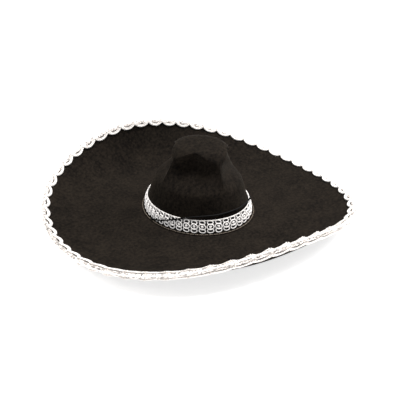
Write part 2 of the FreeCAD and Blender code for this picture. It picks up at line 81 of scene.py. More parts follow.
@dataclass(frozen=True)
class HatBlock:
    """The hatter's block and flange: the curves that felt and trims are pressed to."""

    crown_semi_x: float = 93.4
    crown_semi_y: float = 106.7
    crown_felt: float = 2.5
    crown_height: float = 132.0
    crown_lean: float = 12.0
    dent_depth: float = 26.0
    dent_far_shallower: float = 6.0
    dent_low: float = 62.0
    dent_high: float = 129.0
    dent_arch: float = 15.0
    dent_far_lower: float = 5.0
    dent_skew: float = 1.4
    dent_roundness: float = 0.5
    brim_thickness: float = 5.0
    brim_felt: float = 2.0
    edge_mean_radius: float = 278.0
    edge_oval: float = 6.15
    edge_square: float = 7.6
    edge_mean_rise: float = 38.0
    edge_back_rise: float = 10.2
    edge_roll_rise: float = 30.5
    edge_back_peak: float = 6.15
    edge_corner_rise: float = 1.4
    edge_droop: float = 8.0
    edge_droop_place: float = math.radians(312)
    edge_droop_power: int = 14
    brim_flat: float = 0.20
    brim_curl: float = 3.5
    brim_curl_swing: float = 0.8
    slope_step: float = 0.01
    row_step: float = 0.4       # the same along the crown outline, in control points
    tip_fade: float = 3.0       # the dents fade where the tip closes
    upright: float = 1e-6       # below this a slope has no direction of its own
    edge_samples: int = 720
    outline: tuple[tuple[float, float], ...] = (
        (0.0, 1.0), (4.0, 0.995), (16.0, 0.965), (31.0, 0.925), (47.0, 0.875), (64.0, 0.815),
        (80.0, 0.74), (95.0, 0.66), (109.0, 0.595), (120.0, 0.54), (127.5, 0.475),
        (131.0, 0.38), (132.0, 0.22), (132.0, 0.06), (132.0, 0.0))

    def oval_radius(self, angle: float) -> float:
        """Plan radius of the crown's foot in one direction."""
        return 1.0 / math.hypot(math.cos(angle) / self.crown_semi_x,
                                math.sin(angle) / self.crown_semi_y)

    def oval_point(self, angle: float, out: float, height: float) -> Vector:
        """Point level with the crown's foot oval, `out` outside it."""
        return polar(angle, self.oval_radius(angle) + out, height)

    def edge_radius(self, angle: float) -> float:
        """Plan radius of the brim's felt edge."""
        return (self.edge_mean_radius + self.edge_oval * math.cos(2 * angle)
                - self.edge_square * math.cos(4 * angle))

    def edge_rise(self, angle: float) -> float:
        """Height of the felt edge above the flat of the brim."""
        return (self.edge_mean_rise + self.edge_back_rise * math.sin(angle)
                - self.edge_roll_rise * math.cos(2 * angle)
                - self.edge_back_peak * math.sin(3 * angle)
                + self.edge_corner_rise * math.cos(4 * angle)
                - self.edge_droop * max(0.0, math.cos(angle - self.edge_droop_place))
                ** self.edge_droop_power)

    def underside(self, angle: float, part: float) -> Vector:
        """Point on the brim's underside: part 0 at the head opening, 1 at the felt edge."""
        inner = self.oval_radius(angle) - self.crown_felt
        radius = inner + (self.edge_radius(angle) - inner) * part
        curl = max(0.0, (part - self.brim_flat) / (1 - self.brim_flat))
        power = self.brim_curl + self.brim_curl_swing * math.cos(4 * angle)
        return polar(angle, radius, self.edge_rise(angle) * curl ** power)

    def directions(self, angle: float, part: float) -> tuple[Vector, Vector]:
        """Unit vectors on the brim: outward along the surface, and its upward normal."""
        step = self.slope_step
        outward = self.underside(angle, part + step) - self.underside(angle, part - step)
        along = self.underside(angle + step, part) - self.underside(angle - step, part)
        return outward.normalized(), outward.cross(along).normalized()

    def edge_frame(self, angle: float) -> tuple[Vector, Vector, Vector]:
        """Middle of the felt edge, with the directions straight out and up from it."""
        outward, normal = self.directions(angle, 1.0)
        middle = self.underside(angle, 1.0) + normal * (self.brim_thickness / 2)
        return middle, outward, normal

    def brim_point(self, angle: float, part: float, lift: float, beyond: float = 0.0) -> Vector:
        """Point `lift` above the underside and `beyond` outside that place."""
        outward, normal = self.directions(angle, part)
        return self.underside(angle, part) + normal * lift + outward * beyond

    def part_at(self, angle: float, inward: float) -> float:
        """Brim part that lies `inward` millimetres inside the felt edge, along the felt."""
        part = 1.0
        for _ in range(2):
            middle = (1.0 + part) / 2
            span = self.underside(angle, middle + self.slope_step)
            span = (span - self.underside(angle, middle - self.slope_step)).length
            part = 1.0 - inward * 2 * self.slope_step / span
        return part

    def dent(self, angle: float, height: float) -> float:
        """How far the crown wall is pushed in at a height above the brim."""
        ridge = 0.5 + 0.5 * math.cos(4 * angle)
        far = 0.5 + 0.5 * math.cos(angle - math.pi / 4)
        high = self.dent_high - self.dent_arch * ridge - self.dent_far_lower * far
        if not self.dent_low < height < high:
            return 0.0
        share = (height - self.dent_low) / (high - self.dent_low)
        depth = self.dent_depth - self.dent_far_shallower * far
        return (depth * (1 - ridge) ** self.dent_roundness
                * math.sin(math.pi * share ** self.dent_skew))

    def lean(self, height: float) -> Vector:
        """How far the crown leans forward at a height above the brim."""
        return Vector((0.0, self.crown_lean * (height / self.crown_height) ** 2, 0.0))

    def crown_point(self, angle: float, row: float, out: float = 0.0) -> Vector:
        """Point on the crown at a place along its outline, `out` outside the felt."""
        def bare(turn: float, place: float) -> Vector:
            height, width = spline_value(self.outline, min(place, len(self.outline) - 1.001))
            radius = self.oval_radius(turn) * width - self.dent(turn, height) * min(1, width * self.tip_fade)
            return polar(turn, radius, height + self.brim_thickness) - self.lean(height)

        point = bare(angle, row)
        if out:
            step = self.slope_step
            around = bare(angle + step, row) - bare(angle - step, row)
            upward = (bare(angle, row + self.row_step)
                      - bare(angle, max(row - self.row_step, 0.0)))
            normal = around.cross(upward)
            sloping = normal.length > self.upright
            point += (normal.normalized() if sloping else Vector((0, 0, 1))) * out
        return point

    def wall_point(self, angle: float, height: float, out: float) -> Vector:
        """Point on the crown's plain wall, below the dents, `out` outside the felt."""
        above = max(0.0, height - self.brim_thickness)
        for (low, wide), (high, narrow) in zip(self.outline, self.outline[1:]):
            if above <= high:
                width = wide + (narrow - wide) * (above - low) / (high - low)
                break
        return polar(angle, self.oval_radius(angle) * width + out, height) - self.lean(above)

    def edge_angles(self, repeats: int) -> list[float]:
        """Equal steps along the felt edge, as plan angles starting at the front."""
        samples = self.edge_samples
        angles = [-math.pi / 2 + 2 * math.pi * step / samples for step in range(samples + 1)]
        lengths = [0.0]
        for first, second in zip(angles, angles[1:]):
            chord = self.underside(second, 1.0) - self.underside(first, 1.0)
            lengths.append(lengths[-1] + chord.length)
        result = []
        cursor = 0
        for step in range(repeats + 1):
            target = lengths[-1] * step / repeats
            while cursor < samples - 1 and lengths[cursor + 1] < target:
                cursor += 1
            share = (target - lengths[cursor]) / (lengths[cursor + 1] - lengths[cursor])
            result.append(angles[cursor] + share * (angles[cursor + 1] - angles[cursor]))
        return result


# ---- finishes --------------------------------------------------------------------------
def linear_colour(code: str) -> tuple[float, float, float, float]:
    """Turn an sRGB hex colour such as "#20201e" into linear RGBA."""
    values = [int(code[place:place + 2], 16) / 255 for place in (1, 3, 5)]
    return (*[value / 12.92 if value <= 0.04045 else ((value + 0.055) / 1.055) ** 2.4
              for value in values], 1.0)


def per_metre(size_mm: float) -> float:
    """Pattern scale, in repeats a metre, of a feature of one real size."""
    return METRE / size_mm


def add_node(tree: bpy.types.NodeTree, kind: str, settings: dict | None = None,
             links: dict | None = None) -> bpy.types.Node:
    """Add one shader node.

    Args:
        tree: Node tree of the material.
        kind: Blender's node type, such as "ShaderNodeTexNoise".
        settings: Input values by socket name, or node properties by attribute name.
        links: Output sockets by the name of the input that they feed.
    Returns:
        The new node.
    """
    node = tree.nodes.new(kind)
    for name, value in (settings or {}).items():
        if name in node.inputs:
            node.inputs[name].default_value = value
        else:
            setattr(node, name, value)
    for name, socket in (links or {}).items():
        tree.links.new(socket, node.inputs[name])
    return node


def clouds(tree: bpy.types.NodeTree, place: bpy.types.NodeSocket, size_mm: float,
           detail: float, roughness: float = 0.5) -> bpy.types.NodeSocket:
    """Cloudy pattern whose patches have one real size."""
    return add_node(tree, "ShaderNodeTexNoise",
                    {"Scale": per_metre(size_mm), "Detail": detail, "Roughness": roughness},
                    {"Vector": place}).outputs["Fac"]


@dataclass(frozen=True)
class Finish:
    """A finish: its name, a slot name that is not used, two colours and how they meet light."""

    name: str
    slot: str
    dark: str
    light: str
    roughness: float = 0.6
    metallic: float = 0.0
    specular: float = 0.5
    sheen: float = 0.0
    sheen_roughness: float = 0.5
    sheen_tint: str = "#ffffff"
    # emission: painted light on the gimp cords and tape, the light table's own light on the floor
    glow: float = 0.0
    mottle_mm: float = 8.0
    relief_mm: float = 0.1
    relief_share: float = 1.0
    tone_low: float = 0.35      # pattern value that gets the dark colour
    tone_high: float = 0.65     # pattern value that gets the light colour

    def dress(self) -> bpy.types.Material:
        """Make the material: one shader, with the finish's pattern in colour and relief."""
        material = bpy.data.materials.new(self.name)
        material.use_nodes = True
        tree = material.node_tree
        tree.nodes.clear()
        tone, height = self.pattern(tree, add_node(tree, "ShaderNodeTexCoord").outputs)
        ramp = add_node(tree, "ShaderNodeValToRGB", links={"Fac": tone})
        for stop, place, code in zip(ramp.color_ramp.elements, (self.tone_low, self.tone_high),
                                     (self.dark, self.light)):
            stop.position = place
            stop.color = linear_colour(code)
        bump = add_node(tree, "ShaderNodeBump", {"Distance": self.relief_mm / METRE,
                                                 "Strength": self.relief_share},
                        {"Height": height})
        surface = add_node(tree, "ShaderNodeBsdfPrincipled", {
            "Roughness": self.roughness, "Metallic": self.metallic,
            "Specular IOR Level": self.specular, "Sheen Weight": self.sheen,
            "Sheen Roughness": self.sheen_roughness,
            "Sheen Tint": linear_colour(self.sheen_tint),
            "Emission Color": (1.0, 1.0, 1.0, 1.0), "Emission Strength": self.glow},
            {"Base Color": ramp.outputs["Color"], "Normal": bump.outputs["Normal"]})
        add_node(tree, "ShaderNodeOutputMaterial", links={"Surface": surface.outputs["BSDF"]})
        return material

    def pattern(self, tree: bpy.types.NodeTree, maps: Maps) -> Pattern:
        """Lay out the pattern of the finish.

        Args:
            tree: Node tree of the material.
            maps: Places on the piece: "Object", or "UV" for its own map.
        Returns:
            The pattern's tone and height; a plain mottle unless a finish has its own.
        """
        mottle = clouds(tree, maps["Object"], self.mottle_mm, 4.0)
        return mottle, mottle


@dataclass(frozen=True)
class WoolFelt(Finish):
    """Pressed wool felt, steamed on a block: matt, soft-edged, with a short brushed nap."""

    tone_low: float = 0.42
    tone_high: float = 0.58
    nap_roughness: float = 0.6
    # Size, detail and share of the wide brushed clouds, the matted clumps and the
    # fibres; real fibres are finer, but these are coarse enough to be seen.
    layers: tuple[tuple[float, float, float], ...] = (
        (45.0, 3.0, 0.2), (5.0, 3.0, 0.42), (0.9, 4.0, 0.38))

    def pattern(self, tree: bpy.types.NodeTree, maps: Maps) -> Pattern:
        """Sum of the layers, each by its share, in the colour and in the relief."""
        nap = None
        for size, detail, share in self.layers:
            layer = clouds(tree, maps["Object"], size, detail, self.nap_roughness)
            node = add_node(tree, "ShaderNodeMath", {"operation": "MULTIPLY_ADD"}, {0: layer})
            node.inputs[1].default_value = share
            node.inputs[2].default_value = 0.0
            if nap:
                tree.links.new(nap, node.inputs[2])
            nap = node.outputs[0]
        return nap, nap


@dataclass(frozen=True)
class LameGimp(Finish):
    """Silver lame strip wound on a cotton core: the random tone of its small facets is painted glint where
    bright and painted shade in the gaps between turns where dark.
    """

    metallic: float = 0.1
    relief_mm: float = 0.25
    relief_share: float = 0.7
    tone_low: float = 0.0
    tone_high: float = 0.7
    facet_mm: float = 0.7       # one turn of the strip, drawn about twice its real width

    def pattern(self, tree: bpy.types.NodeTree, maps: Maps) -> Pattern:
        """Facets over the cord, each tilted by the relief; their random tone is painted light, bright cells
        for glints and dark cells for shade between turns.
        """
        facets = add_node(tree, "ShaderNodeTexVoronoi", {"Scale": per_metre(self.facet_mm)},
                          {"Vector": maps["Object"]}).outputs
        tone = add_node(tree, "ShaderNodeSeparateColor", links={"Color": facets["Color"]})
        return tone.outputs[0], facets["Distance"]


@dataclass(frozen=True)
class BandedCloth(Finish):
    """Woven cloth: even ribs both ways on the piece's own map."""

    tone_low: float = 0.1
    tone_high: float = 0.9
    rib_mm: float = 1.2
    cross_mm: float = 1.2
    waver: float = 0.4          # how far the ribs stray from straight

    def pattern(self, tree: bpy.types.NodeTree, maps: Maps) -> Pattern:
        """Two sets of ribs, crossed like warp and weft."""
        ribs = [add_node(tree, "ShaderNodeTexWave",
                         {"bands_direction": direction, "Scale": per_metre(size) / math.tau * 0.5,
                          "Distortion": self.waver, "Detail": 1.0},
                         {"Vector": maps["UV"]}).outputs["Fac"]
                for direction, size in (("X", self.rib_mm), ("Y", self.cross_mm))]
        weave = add_node(tree, "ShaderNodeMath", {"operation": "MAXIMUM"}, {0: ribs[0], 1: ribs[1]})
        return weave.outputs[0], weave.outputs[0]


@dataclass(frozen=True)
class GrainLeather(Finish):
    """Split sheepskin with a pressed pebble grain: low gloss on the tops of the pebbles."""

    relief_share: float = 0.8
    pebble_mm: float = 1.4

    def pattern(self, tree: bpy.types.NodeTree, maps: Maps) -> Pattern:
        """Pebbles from rounded cells, with a mottle that breaks up their colour."""
        pebbles = add_node(tree, "ShaderNodeTexVoronoi",
                           {"Scale": per_metre(self.pebble_mm), "feature": "SMOOTH_F1"},
                           {"Vector": maps["Object"]})
        return clouds(tree, maps["Object"], self.mottle_mm, 3.0), pebbles.outputs["Distance"]


class Stuff(Enum):
    """Every finish on the hat and in the studio."""

    # Deep black that goes warm brown where light falls on it, with no gloss.
    FELT = WoolFelt("black_wool_felt", "black_felt", "#090706", "#211c17", roughness=0.95,
                    specular=0.06, sheen=0.035, sheen_tint="#b8a890", relief_mm=0.5)
    # The small glow is not physical: it lifts the cord's white in the brim's own shade.
    GIMP = LameGimp("silver_lame_gimp_cord", "silver_cord", "#a9a19b", "#fffaf5",
                    roughness=0.45, glow=0.12)
    # The same cord, with more of that painted glow, where it has to read as the whitest.
    PAINTED_GLOW_GIMP = LameGimp("silver_lame_gimp_cord_painted_glow", "silver_cord", "#a39b95", "#fffaf6",
                           roughness=0.45, glow=0.32)
    # Wound strip: its dark tone is painted shade in the gaps between its turns, and a faint glow is painted
    # light on it.
    TAPE = LameGimp("silver_lame_gimp_tape", "silver_braid", "#3d3733", "#eee6e0",
                    roughness=0.5, facet_mm=2.4, glow=0.06)
    # Dull threads: cream on the braid, dun on the flange, black inside the hat.
    THREAD = Finish("pale_cotton_thread", "silver_thread", "#8f867a", "#b8ae9f",
                    roughness=0.8, mottle_mm=0.8)
    DARK_THREAD = Finish("dun_cotton_thread", "pale_thread", "#6d6257", "#8d8173",
                         roughness=0.8, mottle_mm=0.8)
    BLACK_THREAD = Finish("black_cotton_thread", "black_thread", "#141312", "#24221f",
                          roughness=0.8, mottle_mm=0.8)
    # Blacker than the felt, with only a thin soft light along its top.
    ELASTIC = Finish("black_braided_elastic", "black_elastic", "#040404", "#0d0c0b",
                     roughness=0.65, specular=0.12, mottle_mm=0.9, relief_mm=0.25)
    # Open, glue-stiffened weave.
    BUCKRAM = BandedCloth("black_sized_buckram", "black_buckram", "#0d0d0c", "#22211f",
                          roughness=0.85, rib_mm=1.4, cross_mm=1.4, relief_mm=0.25)
    # Fine cross ribs with a faint gloss.
    RIBBON = BandedCloth("black_grosgrain_ribbon", "black_tape", "#0c0b0b", "#1c1b1a",
                         roughness=0.7, cross_mm=6.0, relief_mm=0.2)
    # Half-gloss on the tops of its pebbles.
    LEATHER = GrainLeather("black_split_leather", "sweatband_leather", "#12100f", "#221e1b",
                           roughness=0.5, mottle_mm=12.0, relief_mm=0.2)
    # Bright hard wire and matt grey board, both hidden inside the brim.
    WIRE = Finish("drawn_spring_steel", "", "#8b8c8e", "#b0b1b3", roughness=0.3,
                  metallic=1.0, mottle_mm=2.0, relief_mm=0.02)
    BOARD = Finish("grey_millboard", "", "#6d675f", "#8b857c", roughness=0.9,
                   mottle_mm=3.0, relief_mm=0.15)
    # Lit from inside, so that shadows on it stay faint.
    FLOOR = Finish("opal_acrylic_light_table", "", "#f2f2f2", "#f6f6f6", roughness=0.9,
                   specular=0.2, mottle_mm=400.0, relief_mm=0.0, glow=0.75)


class Wardrobe:
    """Makes each finish once, and finishes pieces with it."""

    def __init__(self) -> None:
        """Start with nothing made."""
        self.made: dict[Stuff, bpy.types.Material] = {}

    def dress(self, piece: bpy.types.Object, stuff: Stuff) -> None:
        """Give a piece one finish all over."""
        if stuff not in self.made:
            self.made[stuff] = stuff.value.dress()
        piece.data.materials.clear()
        piece.data.materials.append(self.made[stuff])

    def finish(self, piece: bpy.types.Object, stuff: Stuff, *replaces: str) -> None:
        """Scale a piece from millimetres to metres, link it, hang it on the root body, hide the CAD nodes
        that it replaces and dress it.

        Args:
            piece: New object, with its place in its mesh.
            stuff: Its finish.
            replaces: CAD nodes that it stands for.
        """
        piece.data.transform(Matrix.Scale(1 / METRE, 4))
        bpy.context.scene.collection.objects.link(piece)
        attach(piece, ROOT_BODY)
        if replaces:
            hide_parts(*replaces)
        self.dress(piece, stuff)
        LOG.info("%s: %d faces", piece.name, len(piece.data.polygons))


# ---- making meshes ---------------------------------------------------------------------
def mesh_object(name: str, form: bmesh.types.BMesh) -> bpy.types.Object:
    """Make a smooth-shaded object of a form, and free the form."""
    for face in form.faces:
        face.smooth = True
    mesh = bpy.data.meshes.new(name)
    form.to_mesh(mesh)
    form.free()
    return bpy.data.objects.new(name, mesh)


def unwrap(form: bmesh.types.BMesh, flat: dict[bmesh.types.BMVert, tuple[float, int]],
           reach: float, lengths: Sequence[float]) -> None:
    """Map a ring of cloth in metres: round the ring by row and plan angle.

    Args:
        form: The cloth.
        flat: Plan angle and row of each of its points.
        reach: Radius at which the map is true to size.
        lengths: Distance of each row from the first, along the cloth.
    """
    weave = form.loops.layers.uv.new("cloth")
    for face in form.faces:
        turn = flat[face.verts[0]][0]
        for loop in face.loops:
            angle, row = flat[loop.vert]
            if angle - turn > math.pi:
                angle -= 2 * math.pi
            elif turn - angle > math.pi:
                angle += 2 * math.pi
            loop[weave].uv = (angle * reach / METRE, lengths[row] / METRE)


def face_outward(form: bmesh.types.BMesh) -> None:
    """Turn all faces of an open sheet the same way: up, and away from the hat's middle."""
    bmesh.ops.recalc_face_normals(form, faces=form.faces[:])
    facing = 0.0
    for face in form.faces:
        centre = face.calc_center_median()
        outward = Vector((centre.x, centre.y, 0.0)).normalized() + Vector((0.0, 0.0, 1.0))
        facing += face.normal.dot(outward) * face.calc_area()
    if facing < 0.0:
        bmesh.ops.reverse_faces(form, faces=form.faces[:])


def pressed_sheet(name: str, rows: int, steps: int, place: Place) -> bpy.types.Object:
    """Spin a flat ring-shaped blank and press it to shape.

    Args:
        name: Name of the piece.
        rows: Number of rings of points from the inside to the outside of the blank.
        steps: Number of points round each ring.
        place: Where a point at one angle and row ends up, in millimetres.
    Returns:
        An object with a smooth open sheet and a map in metres of cloth.
    """
    form = bmesh.new()
    strip = [form.verts.new((row + 1.0, 0.0, 0.0)) for row in range(rows)]
    edges = [form.edges.new(pair) for pair in zip(strip, strip[1:])]
    bmesh.ops.spin(form, geom=strip + edges, cent=(0, 0, 0), axis=(0, 0, 1), dvec=(0, 0, 0),
                   angle=2 * math.pi, steps=steps, use_merge=True)
    flat = {}
    for vertex in form.verts:
        angle = math.atan2(vertex.co.y, vertex.co.x)
        row = round(vertex.co.xy.length) - 1
        flat[vertex] = (angle, row)
        vertex.co = place(angle, row)
    lengths = [0.0]
    for row in range(1, rows):
        lengths.append(lengths[-1] + (place(0.0, row) - place(0.0, row - 1)).length)
    unwrap(form, flat, place(0.0, rows // 2).xy.length, lengths)
    bmesh.ops.remove_doubles(form, verts=form.verts[:], dist=MERGE_DISTANCE)
    face_outward(form)
    return mesh_object(name, form)


def thicken(piece: bpy.types.Object, thickness: float, toward: float) -> None:
    """Give a sheet its wall: towards its inside (-1), its outside (1) or both (0)."""
    wall = piece.modifiers.new("wall", "SOLIDIFY")
    wall.thickness = thickness / METRE
    wall.offset = toward
    wall.use_even_offset = False
    wall.use_quality_normals = True


def new_curve(name: str, radius: float, roundness: int, capped: bool) -> bpy.types.Curve:
    """Start a curve that gives round tubes of one radius."""
    curve = bpy.data.curves.new(name, "CURVE")
    curve.dimensions = "3D"
    curve.bevel_depth = radius
    curve.bevel_resolution = roundness
    curve.use_fill_caps = capped
    return curve


def curve_mesh(curve: bpy.types.Curve) -> bpy.types.Mesh:
    """Final mesh of a curve, smooth-shaded; the curve is removed."""
    holder = bpy.data.objects.new(curve.name, curve)
    mesh = bpy.data.meshes.new_from_object(holder)
    bpy.data.objects.remove(holder)
    bpy.data.curves.remove(curve)
    for face in mesh.polygons:
        face.use_smooth = True
    return mesh


def cord_mesh(name: str, paths: Sequence[Sequence[Vector]], radius: float,
              roundness: int = 1, closed: bool = False) -> bpy.types.Object:
    """Make round cords of one thickness along paths, as one mesh.

    Args:
        name: Name of the piece.
        paths: Points of each cord, in millimetres.
        radius: Cord radius.
        roundness: 0 for a four-sided cord, 1 for six sides, 2 for eight.
        closed: Whether each path is a ring.
    Returns:
        An object with the cords' mesh.
    """
    curve = new_curve(name + "_line", radius, roundness, not closed)
    for path in paths:
        spline = curve.splines.new("POLY")
        spline.points.add(len(path) - 1)
        for target, point in zip(spline.points, path):
            target.co = (*point, 1.0)
        spline.use_cyclic_u = closed
    mesh = curve_mesh(curve)
    mesh.name = name
    return bpy.data.objects.new(name, mesh)


@dataclass(frozen=True)
class Lay:
    """How a cord is laid up: its plies, their thickness and the pitch of the twist."""

    ply_radius: float
    spread: float
    pitch: float
    points_per_turn: int
    plies: int = 2
    least_points: int = 8
    samples: int = 24

    def strands(self, route: Route, closed: bool = False) -> list[list[Vector]]:
        """Wind the plies round a route.

        Args:
            route: Gives the point and surface normal at a share from 0 to 1.
            closed: Whether the route is a ring.
        Returns:
            One path for each ply.
        """
        coarse = [route(step / self.samples)[0] for step in range(self.samples + 1)]
        length = sum((second - first).length for first, second in zip(coarse, coarse[1:]))
        turns = max(1.0, length / self.pitch)
        if closed:
            turns = float(round(turns))
        count = max(self.least_points, int(turns * self.points_per_turn))
        places = [route(step / count) for step in range(count if closed else count + 1)]
        paths: list[list[Vector]] = [[] for _ in range(self.plies)]
        for index, (point, normal) in enumerate(places):
            if closed:
                ahead, behind = places[(index + 1) % count][0], places[index - 1][0]
            else:
                ahead = places[min(index + 1, count)][0]
                behind = places[max(index - 1, 0)][0]
            side = (ahead - behind).cross(normal).normalized()
            for ply in range(self.plies):
                turn = 2 * math.pi * (turns * index / count + ply / self.plies)
                paths[ply].append(point + (normal.normalized() * math.cos(turn)
                                           + side * math.sin(turn)) * self.spread)
        return paths


# ---- crown -----------------------------------------------------------------------------
@dataclass
class Crown:
    """The blocked felt crown, its flange and the stiffened lining inside it."""

    block: HatBlock
    steps: int = 288
    rows_per_span: int = 6
    felt_start: float = 1.3     # place on the outline where the wall takes over from the flange
    lining: float = 0.8
    lining_start: float = 0.8
    lining_foot: float = 5.1
    glue: float = 0.1
    unevenness: float = 0.35
    wave: float = 28.0
    flange: tuple[tuple[float, float], ...] = (     # (outside the foot oval, height)
        (8.5, 5.05), (8.75, 5.5), (8.7, 6.0), (8.3, 6.35), (7.6, 6.4), (5.0, 6.4), (3.0, 6.4),
        (1.8, 6.6), (0.9, 7.2), (0.35, 8.2), (0.1, 9.4))

    def felt_place(self, angle: float, row: int) -> Vector:
        """Point of the outer face: the flange first, then up the wall to the tip."""
        if row < len(self.flange):
            return self.block.oval_point(angle, *self.flange[row])
        place = self.felt_start + (row - len(self.flange)) / self.rows_per_span
        point = self.block.crown_point(angle, place)
        wobble = noise.noise(point / self.wave) * self.unevenness
        return point + Vector((point.x, point.y, 0)).normalized() * wobble

    def lining_place(self, angle: float, row: int) -> Vector:
        """Point of the lining, just inside the felt."""
        depth = -self.block.crown_felt - self.glue
        if row == 0:
            return self.block.oval_point(angle, depth, self.lining_foot)
        return self.block.crown_point(angle, self.lining_start + row / self.rows_per_span, depth)

    def build(self, wardrobe: Wardrobe) -> None:
        """Make the felt and its lining."""
        spans = len(self.block.outline) - 1
        rows = len(self.flange) + int((spans - self.felt_start) * self.rows_per_span) + 1
        felt = pressed_sheet("crown_shell", rows, self.steps, self.felt_place)
        thicken(felt, self.block.crown_felt - self.glue, -1)
        wardrobe.finish(felt, Stuff.FELT, "crown_felt")
        rows = 1 + (spans - 1) * self.rows_per_span
        lining = pressed_sheet("crown_lining", rows, self.steps // 2, self.lining_place)
        thicken(lining, self.lining, -1)
        wardrobe.finish(lining, Stuff.BUCKRAM, "crown_buckram")


# ---- brim ------------------------------------------------------------------------------
@dataclass
class Brim:
    """Two felt sheets over a stiff board, with a wire in the edge."""

    block: HatBlock
    steps: int = 360
    rows: int = 64
    unevenness: float = 0.45
    wave: float = 60.0
    calm_share: float = 0.25    # the unevenness grows over this share of the width

    def sheet(self, name: str, lift: float, wall_side: int) -> bpy.types.Object:
        """Press one felt sheet of the brim."""
        def place(angle: float, row: int) -> Vector:
            part = row / (self.rows - 1)
            point = self.block.brim_point(angle, part, lift)
            if part <= self.block.brim_flat:
                point.z = lift
            calm = min(1.0, max(0.0, part - self.block.brim_flat) / self.calm_share)
            point.z += noise.noise(point / self.wave) * self.unevenness * calm
            return point

        felt = pressed_sheet(name, self.rows, self.steps, place)
        thicken(felt, self.block.brim_felt, wall_side)
        return felt

    def build(self, wardrobe: Wardrobe) -> None:
        """Make both sheets and dress the board, wire and sleeve between them."""
        top = self.sheet("brim_upper_felt", self.block.brim_thickness, -1)
        wardrobe.finish(top, Stuff.FELT, "brim_top_felt")
        wardrobe.finish(self.sheet("brim_lower_felt", 0.0, 1), Stuff.FELT, "brim_under_felt")
        for node, stuff in (("brim_board", Stuff.BOARD), ("brim_wire", Stuff.WIRE),
                            ("wire_sleeve", Stuff.WIRE)):
            wardrobe.dress(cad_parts[node], stuff)


# ---- edge braid ------------------------------------------------------------------------
class Face(Enum):
    """Which face of the brim a trim lies on."""

    UPPER = 1
    UNDER = -1


